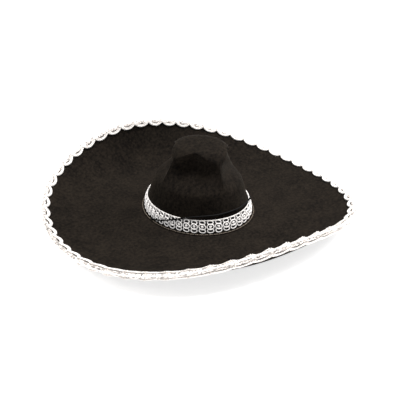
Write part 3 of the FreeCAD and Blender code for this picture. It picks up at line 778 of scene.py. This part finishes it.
@dataclass
class EdgeBraid:
    """Silver gimp braid folded over the brim's edge, with a scallop every pitch."""

    block: HatBlock
    repeats: int = 54
    tape_leg: float = 3.8
    tape_thickness: float = 0.8
    nose: float = 2.6
    rib_pitch: float = 4.0
    rib_height: float = 1.0
    rib_power: float = 0.6      # below 1: broad ribs with narrow gaps
    rib_level: float = 0.6      # share of a rib that sinks into the tape
    points_per_rib: int = 5
    rib_slant: float = 0.22     # turns of the rib pattern from one row of points to the next
    rib_reach: float = 272.0    # mean radius of the fold, for counting ribs
    cord_beyond: float = 1.0    # the fold cord stands this far off the tape
    knob_beyond: float = 0.7
    knob_size: tuple[float, float, float] = (2.2, 1.5, 2.9)
    thread: float = 0.4
    cusp_inward: float = 0.6
    scallop_depth: float = 9.8
    inner_inset: float = 2.9
    near_edge: float = 0.97     # brim part whose slope the cords follow
    outer_trim: float = 0.02    # share of the pitch left free at each cusp ...
    inner_trim: float = 0.12    # ... and by the inner arc
    cord_lift: float = 1.9      # cords ride this high over the tape ...
    cord_drop: float = 0.8      # ... and step down onto the felt beside it
    step_width: float = 3.0
    bulge_power: float = 0.55   # below 1: fuller than half a sine wave
    curl_turns: float = 1.15
    curl_start: float = -0.6
    curl_radius: float = 2.1
    curl_shrink: float = 0.7
    curl_place: float = 0.83    # share of the pitch
    curl_inward: float = 3.4
    curl_points: int = 15
    curl_lift: float = 1.3
    curl_climb: float = 0.7
    pitch_length: float = 32.0
    cord: Lay = Lay(ply_radius=1.1, spread=0.85, pitch=6.5, points_per_turn=8)
    fold_lay: Lay = Lay(ply_radius=0.6, spread=0.5, pitch=5.2, points_per_turn=6)
    thin_cord: Lay = Lay(ply_radius=0.72, spread=0.52, pitch=4.6, points_per_turn=7)

    def face_point(self, angle: float, inward: float, lift: float, face: Face) -> Vector:
        """Point on one face of the brim, `inward` from the felt edge and `lift` off it."""
        if inward <= 0.0:
            part, beyond = 1.0, -inward
        else:
            part, beyond = self.block.part_at(angle, inward), 0.0
        height = self.block.brim_thickness + lift if face is Face.UPPER else -lift
        return self.block.brim_point(angle, part, height, beyond)

    def face_normal(self, angle: float, face: Face) -> Vector:
        """Direction straight off one face of the brim near its edge."""
        return self.block.directions(angle, self.near_edge)[1] * face.value

    def fold(self) -> list[tuple[float, float]]:
        """(beyond the edge, lift above the underside) round the folded tape."""
        skin = self.tape_thickness
        high = self.block.brim_thickness + skin
        middle = self.block.brim_thickness / 2
        return [(-self.tape_leg, -0.2), (-self.tape_leg + 0.3, -skin), (-2.4, -skin),
                (-1.0, -skin), (0.4, -skin + 0.1), (1.4, 0.2), (2.2, 1.1), (self.nose, middle),
                (2.2, 3.9), (1.4, 4.8), (0.4, high - 0.1), (-1.0, high), (-2.4, high),
                (-self.tape_leg + 0.3, high), (-self.tape_leg, high - 0.6)]

    def tape(self) -> bpy.types.Object:
        """Slanting ribs of wound strip, folded over the edge."""
        section = self.fold()
        middle = self.block.brim_thickness / 2
        ribs = round(2 * math.pi * self.rib_reach / self.rib_pitch)
        frames: dict[float, tuple[Vector, Vector, Vector]] = {}

        def place(angle: float, row: int) -> Vector:
            key = round(angle, 6)
            if key not in frames:
                frames[key] = self.block.edge_frame(angle)
            centre, outward, upward = frames[key]
            beyond, lift = section[row]
            share = angle / (2 * math.pi)
            rib = 0.5 + 0.5 * math.cos(2 * math.pi * (share * ribs + row * self.rib_slant))
            puff = self.rib_height * (rib ** self.rib_power - self.rib_level)
            offset = outward * beyond + upward * (lift - middle)
            away = offset.normalized() if beyond > 1.0 else upward * math.copysign(1, lift - middle)
            return centre + offset + away * puff

        return pressed_sheet("braid_tape", len(section), ribs * self.points_per_rib, place)

    def fold_cord(self) -> bpy.types.Object:
        """Twisted cord that runs along the fold."""
        def route(share: float) -> tuple[Vector, Vector]:
            centre, outward, normal = self.block.edge_frame(2 * math.pi * share)
            return centre + outward * (self.nose + self.cord_beyond), normal

        return cord_mesh("braid_fold_cord", self.fold_lay.strands(route, closed=True),
                         self.fold_lay.ply_radius, 0, True)

    def scallop_routes(self, face: Face, inset: float) -> list[Route]:
        """Route of each scallop's cord, from cusp to cusp, `inset` inside the outermost."""
        angles = self.block.edge_angles(self.repeats)
        routes = []
        for first, last in zip(angles, angles[1:]):
            def route(share: float, first: float = first, last: float = last
                      ) -> tuple[Vector, Vector]:
                trim = self.inner_trim if inset else self.outer_trim
                angle = first + (last - first) * (trim + (1 - 2 * trim) * share)
                bulge = math.sin(math.pi * share) ** self.bulge_power
                inward = self.cusp_inward + (self.scallop_depth - self.cusp_inward) * bulge
                inward -= inset * bulge
                on_felt = min(1.0, max(0.0, (inward - self.tape_leg) / self.step_width))
                lift = self.tape_thickness + self.cord_lift - self.cord_drop * on_felt
                return (self.face_point(angle, inward, lift, face),
                        self.face_normal(angle, face))

            routes.append(route)
        return routes

    def arcs(self, name: str, face: Face, inset: float, lay: Lay) -> bpy.types.Object:
        """Twisted cord of every scallop on one face, `inset` inside the outermost line."""
        paths = [strand for route in self.scallop_routes(face, inset)
                 for strand in lay.strands(route)]
        return cord_mesh(f"braid_{name}_{face.name.lower()}", paths, lay.ply_radius)

    def curls(self, face: Face) -> bpy.types.Object:
        """Small snail curl of cord at one foot of every scallop."""
        angles = self.block.edge_angles(self.repeats)
        paths = []
        for first, last in zip(angles, angles[1:]):
            points = []
            for step in range(self.curl_points):
                share = step / (self.curl_points - 1)
                turn = 2 * math.pi * self.curl_turns * share + self.curl_start
                radius = self.curl_radius - self.curl_shrink * share
                along = self.curl_place + radius * math.cos(turn) / self.pitch_length
                inward = self.curl_inward + radius * math.sin(turn)
                lift = self.tape_thickness + self.curl_lift + self.curl_climb * share
                points.append(self.face_point(first + (last - first) * along, inward, lift, face))
            paths.append(points)
        return cord_mesh("braid_curls_" + face.name.lower(), paths, 2 * self.thread)

    def knobs(self) -> bpy.types.Object:
        """Knot of cord on the fold between two scallops."""
        form = bmesh.new()
        squash = Matrix.Diagonal((*self.knob_size, 1.0))
        for angle in self.block.edge_angles(self.repeats)[:-1]:
            centre, outward, normal = self.block.edge_frame(angle)
            centre += outward * (self.nose + self.knob_beyond)
            turn = Matrix((outward.cross(normal), outward, normal)).transposed().to_4x4()
            bmesh.ops.create_icosphere(form, subdivisions=2, radius=1.0,
                                       matrix=Matrix.Translation(centre) @ turn @ squash)
        return mesh_object("braid_knobs", form)

    def stitches(self) -> bpy.types.Object:
        """Thread over the foot of each scallop, on both faces and through the felt."""
        arch = ((0.4, 1.0), (1.2, 3.6), (2.8, 3.6), (4.2, 1.0))    # (inward, lift)
        paths = [[self.face_point(angle, inward, lift, face)
                  for face, side in ((Face.UPPER, arch), (Face.UNDER, arch[::-1]))
                  for inward, lift in side]
                 for angle in self.block.edge_angles(self.repeats)[:-1]]
        return cord_mesh("braid_stitches", paths, self.thread, 0)

    def build(self, wardrobe: Wardrobe) -> None:
        """Make and finish every part of the braid."""
        wardrobe.finish(self.tape(), Stuff.TAPE, "edge_binding")
        # the fold cord's finish carries a strong painted glow that lifts its white
        wardrobe.finish(self.fold_cord(), Stuff.PAINTED_GLOW_GIMP, "edge_bead")
        wardrobe.finish(self.knobs(), Stuff.GIMP)
        wardrobe.finish(self.stitches(), Stuff.THREAD, "edge_stitches")
        for face, side in ((Face.UPPER, "top"), (Face.UNDER, "under")):
            wardrobe.finish(self.arcs("scallops", face, 0.0, self.cord), Stuff.GIMP,
                            "edge_loops_" + side)
            wardrobe.finish(self.arcs("inner_arcs", face, self.inner_inset, self.thin_cord),
                            Stuff.GIMP)
            wardrobe.finish(self.curls(face), Stuff.GIMP, "edge_eyelets_" + side)


# ---- hatband ---------------------------------------------------------------------------
@dataclass
class Hatband:
    """Three interlaced rows of gimp scrolls round the crown, on a black ribbon."""

    block: HatBlock
    repeats: int = 46
    bottom: float = 6.6
    height: float = 23.6
    out: float = 2.55
    uneven: float = 0.7
    uneven_step: float = 2.4
    ribbon_inset: float = 2.5
    ribbon_height: float = 18.1
    ribbon_steps: int = 5
    ribbon_points: int = 240
    ribbon_out: float = 0.45
    ribbon_thickness: float = 0.7
    lap_width: float = 11.0
    lap_thickness: float = 1.4
    lap_round: float = 0.6
    lap_out: float = 1.8
    tack_out: float = 2.6
    tack_across: float = 4.0
    tack_inset: float = 5.0
    edge_down: float = 1.3
    thread: float = 0.4
    edge_lay: Lay = Lay(ply_radius=0.6, spread=0.45, pitch=4.2, points_per_turn=6)
    cord: Lay = Lay(ply_radius=0.6, spread=0.45, pitch=4.6, points_per_turn=7)

    def ring(self, column: float, rise: float, width: float, tall: float, tilt: float,
             out: float) -> Route:
        """Closed ring of cord on the crown wall.

        Args:
            column: Place round the band, counted in repeats.
            rise: Height of the ring's centre above the band's middle.
            width: Half its width along the band.
            tall: Half its height.
            tilt: How far one side stands proud, so that neighbours overlap like scales.
            out: Distance of its centre line from the felt.
        Returns:
            The ring's route.
        """
        middle = self.bottom + self.height / 2 + rise
        centre = 2 * math.pi * column / self.repeats
        reach = self.block.oval_radius(centre)
        lean = self.uneven * math.sin(self.uneven_step * column + rise)

        def route(share: float) -> tuple[Vector, Vector]:
            turn = 2 * math.pi * share
            angle = centre + (lean * math.sin(turn) + width * math.cos(turn)) / reach
            level = middle + tall * math.sin(turn)
            stand = out + tilt * math.cos(turn)
            return self.block.wall_point(angle, level, stand), polar(angle, 1.0, 0.1)

        return route

    def row(self, name: str, rings: Sequence[tuple[float, float, float, float, float]]
            ) -> bpy.types.Object:
        """Make one row: the same few rings in every column.

        Args:
            name: Name of the piece.
            rings: (rise, half width, half height, tilt, extra stand-off) of each ring.
        Returns:
            The row's object.
        """
        paths = []
        for column in range(self.repeats):
            for rise, width, tall, tilt, stand in rings:
                route = self.ring(column, rise, width, tall, tilt, self.out + stand)
                paths += self.cord.strands(route, closed=True)
        return cord_mesh(name, paths, self.cord.ply_radius, closed=True)

    def edge_cord(self) -> bpy.types.Object:
        """Thin cord that finishes the band's upper edge."""
        level = self.bottom + self.height - self.edge_down

        def route(share: float) -> tuple[Vector, Vector]:
            angle = 2 * math.pi * share
            return self.block.wall_point(angle, level, self.out), polar(angle, 1.0, 0.1)

        return cord_mesh("hatband_edge_cord", self.edge_lay.strands(route, closed=True),
                         self.edge_lay.ply_radius, 1, True)

    def ribbon(self) -> bpy.types.Object:
        """Grosgrain ribbon behind the open gimp."""
        def place(angle: float, row: int) -> Vector:
            rise = self.ribbon_inset + row * self.ribbon_height / self.ribbon_steps
            return self.block.wall_point(angle, self.bottom + rise, self.ribbon_out)

        ribbon = pressed_sheet("hatband_ribbon", self.ribbon_steps + 1, self.ribbon_points, place)
        thicken(ribbon, self.ribbon_thickness, 1)
        return ribbon

    def joint(self) -> Vector:
        """Middle of the band's joint, at the back."""
        return self.block.wall_point(math.pi / 2, self.bottom + self.height / 2, self.out)

    def lap(self) -> bpy.types.Object:
        """Turned end of wound strip that hides the joint at the back."""
        form = bmesh.new()
        bmesh.ops.create_cube(form, size=1.0)
        bmesh.ops.scale(form, vec=(self.lap_width, self.lap_thickness, self.height - 3.0),
                        verts=form.verts)
        bmesh.ops.translate(form, vec=self.joint() + Vector((0, self.lap_out, 0)),
                            verts=form.verts)
        bmesh.ops.bevel(form, geom=form.edges[:], offset=self.lap_round, offset_type="OFFSET", segments=3,
                        profile=0.5, affect="EDGES", material=-1)
        return mesh_object("hatband_end", form)

    def tacks(self) -> bpy.types.Object:
        """Four tack stitches on the turned end."""
        face = self.joint() + Vector((0, self.tack_out, 0))
        across, up = self.tack_across, self.height / 2 - self.tack_inset
        arch = ((-1.6, -0.5), (-0.8, 0.2), (0.8, 0.2), (1.6, -0.5))
        paths = [[face + Vector((side, out, level + rise)) for rise, out in arch]
                 for side in (-across, across) for level in (-up, up)]
        return cord_mesh("hatband_tack_stitches", paths, self.thread)

    def build(self, wardrobe: Wardrobe) -> None:
        """Make and finish the whole band."""
        for name, node, rings in (
                ("hatband_top_loops", "hatband_upper_rings", ((7.1, 4.9, 3.2, 0.6, 0.1),)),
                ("hatband_middle_scrolls", "hatband_centre_rings",
                 ((0.1, 5.6, 4.7, 0.9, 1.0), (0.5, 1.5, 1.2, 0.3, 1.2))),
                ("hatband_bottom_loops", "hatband_lower_rings",
                 ((-7.1, 5.2, 3.4, 0.6, 0.1),))):
            # the rings' finish carries a strong painted glow that lifts their white
            wardrobe.finish(self.row(name, rings), Stuff.PAINTED_GLOW_GIMP, node)
        wardrobe.finish(self.edge_cord(), Stuff.GIMP)
        wardrobe.finish(self.ribbon(), Stuff.RIBBON, "hatband_backing")
        wardrobe.finish(self.lap(), Stuff.TAPE, "hatband_lap")
        wardrobe.finish(self.tacks(), Stuff.THREAD, "hatband_tacks")


# ---- sweatband and seams ------------------------------------------------------------------
@dataclass
class Sweatband:
    """Leather band inside the head opening, with its joint tape and both lines of stitches."""

    block: HatBlock
    thickness: float = 1.2
    seam_count: int = 84
    foot_count: int = 72
    thread: float = 0.4
    lining: float = 0.8
    steps: int = 240
    ripple: float = 0.35
    ripple_full: float = 38.0   # height at which the free edge ripples most
    tape_thickness: float = 0.5
    tape_width: float = 12.0
    tape_height: float = 20.0
    tape_middle: float = 23.0
    tape_bend: float = 14.0     # above this height the band leans out towards the felt
    tape_slope: float = 0.11
    tape_reach: float = 97.0

    def profile(self) -> list[tuple[float, float]]:
        """(height, distance inside the felt's outer face) up the band's wall side."""
        lining = self.block.crown_felt + self.lining
        foot = self.block.crown_felt + 0.3
        return [(0.7, foot), (1.6, foot), (2.6, foot + 0.1), (3.6, lining + 0.7),
                (4.6, lining + 2.0), (6.2, lining + 3.2), (9.0, lining + 3.4), (13.0, lining + 3.4),
                (17.0, lining + 2.8), (21.0, lining + 2.2), (26.0, lining + 1.6),
                (31.0, lining + 1.2), (35.0, lining + 1.1), (37.6, lining + 1.0)]

    def band(self) -> bpy.types.Object:
        """The leather itself, a little uneven along its free edge."""
        profile = self.profile()

        def place(angle: float, row: int) -> Vector:
            height, inside = profile[row]
            loose = (height / self.ripple_full) ** 2
            ripple = self.ripple * loose * math.sin(9 * angle + 0.7) * math.sin(2 * angle)
            return self.block.wall_point(angle, height + ripple, -inside - max(0.0, ripple))

        band = pressed_sheet("sweatband_leather", len(profile), self.steps, place)
        thicken(band, self.thickness, -1)
        return band

    def joint_tape(self) -> bpy.types.Object:
        """Ribbed tape over the leather's joint at the back."""
        form = bmesh.new()
        bmesh.ops.create_grid(form, x_segments=8, y_segments=12, size=0.5)
        weave = form.loops.layers.uv.new("cloth")
        for face in form.faces:
            for loop in face.loops:
                loop[weave].uv = (loop.vert.co.x * self.tape_width / METRE,
                                  loop.vert.co.y * self.tape_height / METRE)
        band_face = self.block.crown_felt + self.lining + self.thickness + 0.15
        for vertex in form.verts:
            height = self.tape_middle + self.tape_height * vertex.co.y
            inside = band_face + 3.4
            if height > self.tape_bend:
                inside = band_face + 3.2 - (height - self.tape_bend) * self.tape_slope
            angle = math.pi / 2 - self.tape_width * vertex.co.x / self.tape_reach
            vertex.co = self.block.wall_point(angle, height, -inside)
        bmesh.ops.recalc_face_normals(form, faces=form.faces[:])
        tape = mesh_object("sweatband_joint_tape", form)
        thicken(tape, self.tape_thickness, 0)
        return tape

    def run_of_stitches(self, name: str, count: int, out: float, height: float
                        ) -> bpy.types.Object:
        """A level line of running stitches round the crown's foot.

        Args:
            name: Name of the piece.
            count: Number of stitches.
            out: Distance outside the foot oval.
            height: Height of the cloth that they lie on.
        Returns:
            The stitches' object.
        """
        arch = ((0.0, -0.5), (0.1, 0.2), (0.4, 0.4), (0.7, 0.2), (0.8, -0.5))
        paths = [[self.block.oval_point(2 * math.pi * (step + share) / count, out,
                                        height + rise * 2 * self.thread)
                  for share, rise in arch] for step in range(count)]
        return cord_mesh(name, paths, self.thread)

    def build(self, wardrobe: Wardrobe) -> None:
        """Make and finish the band, its tape and the stitches."""
        wardrobe.finish(self.band(), Stuff.LEATHER, "sweatband")
        wardrobe.finish(self.joint_tape(), Stuff.RIBBON, "sweatband_tape")
        foot = self.run_of_stitches("sweatband_thread", self.foot_count,
                                    -self.block.crown_felt - 1.7, 1.6)
        wardrobe.finish(foot, Stuff.BLACK_THREAD, "sweatband_stitches")
        seam = self.run_of_stitches("flange_thread", self.seam_count, 6.6, 6.5)
        wardrobe.finish(seam, Stuff.DARK_THREAD, "seam_stitches")


# ---- chin cord ----------------------------------------------------------------------------
@dataclass
class ChinCord:
    """Elastic chin cord: its loop lies tight round the front of the crown."""

    block: HatBlock
    radius: float = 1.4
    hole_height: float = 8.2
    start_inside: float = 4.3
    band_outside: float = 5.35
    band_top: float = 30.2
    above_band: float = 1.6     # the cord lies this much nearer the felt above the band
    hole_out: float = 2.5
    length: float = 336.0
    knot_inside: float = 5.5
    knot_cord: float = 0.75
    knot_points: int = 60
    knot_size: tuple[float, float, float] = (0.55, 0.85, 0.65)
    turns: tuple[float, ...] = (180.0, 187.0, 196.0, 206.5, 218.0, 231.0, 245.0, 259.0)
    heights: tuple[float, ...] = (8.2, 9.6, 14.2, 21.0, 28.0, 34.2, 37.0, 37.4)

    def route(self) -> list[Vector]:
        """Points of the cord's route, in millimetres, from one knot to the other."""
        side = []
        for degrees, height in zip(self.turns, self.heights):
            out = self.band_outside - (0.0 if height < self.band_top else self.above_band)
            side.append(self.block.wall_point(math.radians(degrees), height, out))
        side[0] = Vector((side[0].x - self.hole_out, 0.0, self.hole_height))
        start = Vector((-(self.block.crown_semi_x - self.start_inside), 0.0, self.hole_height))
        half = [start] + side
        return half + [Vector((-point.x, point.y, point.z)) for point in reversed(half)]

    def line(self, radius: float) -> bpy.types.Mesh:
        """Smooth line of the cord: bare points, or a tube of one radius."""
        curve = new_curve("chin_cord_line", radius, 4, True)
        curve.resolution_u = 14
        points = self.route()
        spline = curve.splines.new("NURBS")
        spline.points.add(len(points) - 1)
        for target, point in zip(spline.points, points):
            target.co = (*point, 1.0)
        spline.order_u = 3
        spline.use_endpoint_u = True
        return curve_mesh(curve)

    def knot(self, side: int) -> bpy.types.Object:
        """Overhand knot, pulled flat behind the sweatband."""
        centre = Vector((side * (self.block.crown_semi_x - self.knot_inside), 0.0, self.hole_height))
        points = []
        deep_size, wide_size, tall_size = self.knot_size
        for step in range(self.knot_points):
            turn = 2 * math.pi * step / self.knot_points
            wide = math.sin(turn) + 2 * math.sin(2 * turn)
            tall = math.cos(turn) - 2 * math.cos(2 * turn)
            deep = -math.sin(3 * turn)
            points.append(centre + Vector((deep_size * deep, wide_size * wide, tall_size * tall)))
        name = "knot_left" if side > 0 else "knot_right"
        return cord_mesh(name, [points], self.knot_cord, 2, True)

    def build(self, wardrobe: Wardrobe) -> None:
        path = [tuple(vertex.co / METRE) for vertex in self.line(0.0).vertices]
        cord = bpy.data.objects.new("chin_cord_elastic", self.line(self.radius))
        wardrobe.finish(cord, Stuff.ELASTIC, "chin_cord")
        knots = [self.knot(-1), self.knot(1)]
        for knot, node in zip(knots, ("cord_knot_right", "cord_knot_left")):
            wardrobe.finish(knot, Stuff.ELASTIC, node)
        tuple(self.route()[0] / METRE)


# ---- studio ---------------------------------------------------------------------------------
@dataclass
class Studio:
    """White floor, soft light from above and from the right, and the camera."""

    azimuth: float = -31.87
    elevation: float = 27.49
    distance: float = 1.1456
    lens: float = 54.88
    shift_right: float = 0.00443
    shift_up: float = 0.01065
    target: tuple[float, float, float] = (0.0, 0.0, 0.005)
    sun_strength: float = 5.0
    box_power: float = 12.0
    surroundings: float = 0.2
    sun_place: tuple[float, float, float] = (0.12, 0.0, 1.0)
    sun_spread: float = 28.0
    box_place: tuple[float, float, float] = (0.95, -0.35, 0.95)
    box_size: float = 0.7
    floor_half: float = 40.0
    floor_gap: float = 0.0005

    def build(self, wardrobe: Wardrobe) -> None:
        """Set up everything that is not the hat."""
        self.camera()
        self.floor(wardrobe)
        self.lights()
        self.world()

    def camera(self) -> None:
        """Camera at a three-quarter front view, a little above the brim."""
        turn, rise = math.radians(self.azimuth), math.radians(self.elevation)
        back = Vector((math.sin(turn) * math.cos(rise), -math.cos(turn) * math.cos(rise),
                       math.sin(rise)))
        right = Vector((math.cos(turn), math.sin(turn), 0.0))
        up = back.cross(right)
        data = bpy.data.cameras.new("camera")
        data.lens = self.lens
        data.sensor_width = 36.0
        camera = bpy.data.objects.new("camera", data)
        bpy.context.scene.collection.objects.link(camera)
        camera.location = (Vector(self.target) + back * self.distance
                           + right * self.shift_right + up * self.shift_up)
        camera.rotation_euler = Matrix((right, up, back)).transposed().to_euler()
        bpy.context.scene.camera = camera

    def floor(self, wardrobe: Wardrobe) -> None:
        """Large white sheet under the hat."""
        form = bmesh.new()
        bmesh.ops.create_grid(form, x_segments=1, y_segments=1, size=self.floor_half)
        floor = mesh_object("floor", form)
        floor.location.z = -self.floor_gap
        bpy.context.scene.collection.objects.link(floor)
        wardrobe.dress(floor, Stuff.FLOOR)

    def lights(self) -> None:
        """A high soft sun and a nearer soft box on the right."""
        sun = bpy.data.lights.new("overhead", "SUN")
        sun.energy = self.sun_strength
        sun.angle = math.radians(self.sun_spread)
        box = bpy.data.lights.new("right_box", "AREA")
        box.size = self.box_size
        box.energy = self.box_power
        for data, place in ((sun, self.sun_place), (box, self.box_place)):
            light = bpy.data.objects.new(data.name, data)
            light.location = place
            light.rotation_euler = (-Vector(place)).to_track_quat("-Z", "Y").to_euler()
            bpy.context.scene.collection.objects.link(light)

    def world(self) -> None:
        """Even white surroundings."""
        world = bpy.data.worlds.new("white")
        world.use_nodes = True
        background = world.node_tree.nodes["Background"]
        background.inputs["Color"].default_value = (1.0, 1.0, 1.0, 1.0)
        background.inputs["Strength"].default_value = self.surroundings
        bpy.context.scene.world = world
        bpy.context.scene.view_settings.view_transform = "Standard"


def main() -> None:
    """Build the studio and every part of the hat."""
    logging.basicConfig(level=logging.INFO, format="%(relativeCreated)6d ms %(message)s")
    block = HatBlock()
    wardrobe = Wardrobe()
    Studio().build(wardrobe)
    ChinCord(block).build(wardrobe)
    Crown(block).build(wardrobe)
    Brim(block).build(wardrobe)
    EdgeBraid(block).build(wardrobe)
    Hatband(block).build(wardrobe)
    Sweatband(block).build(wardrobe)


if __name__ == "__main__":
    main()
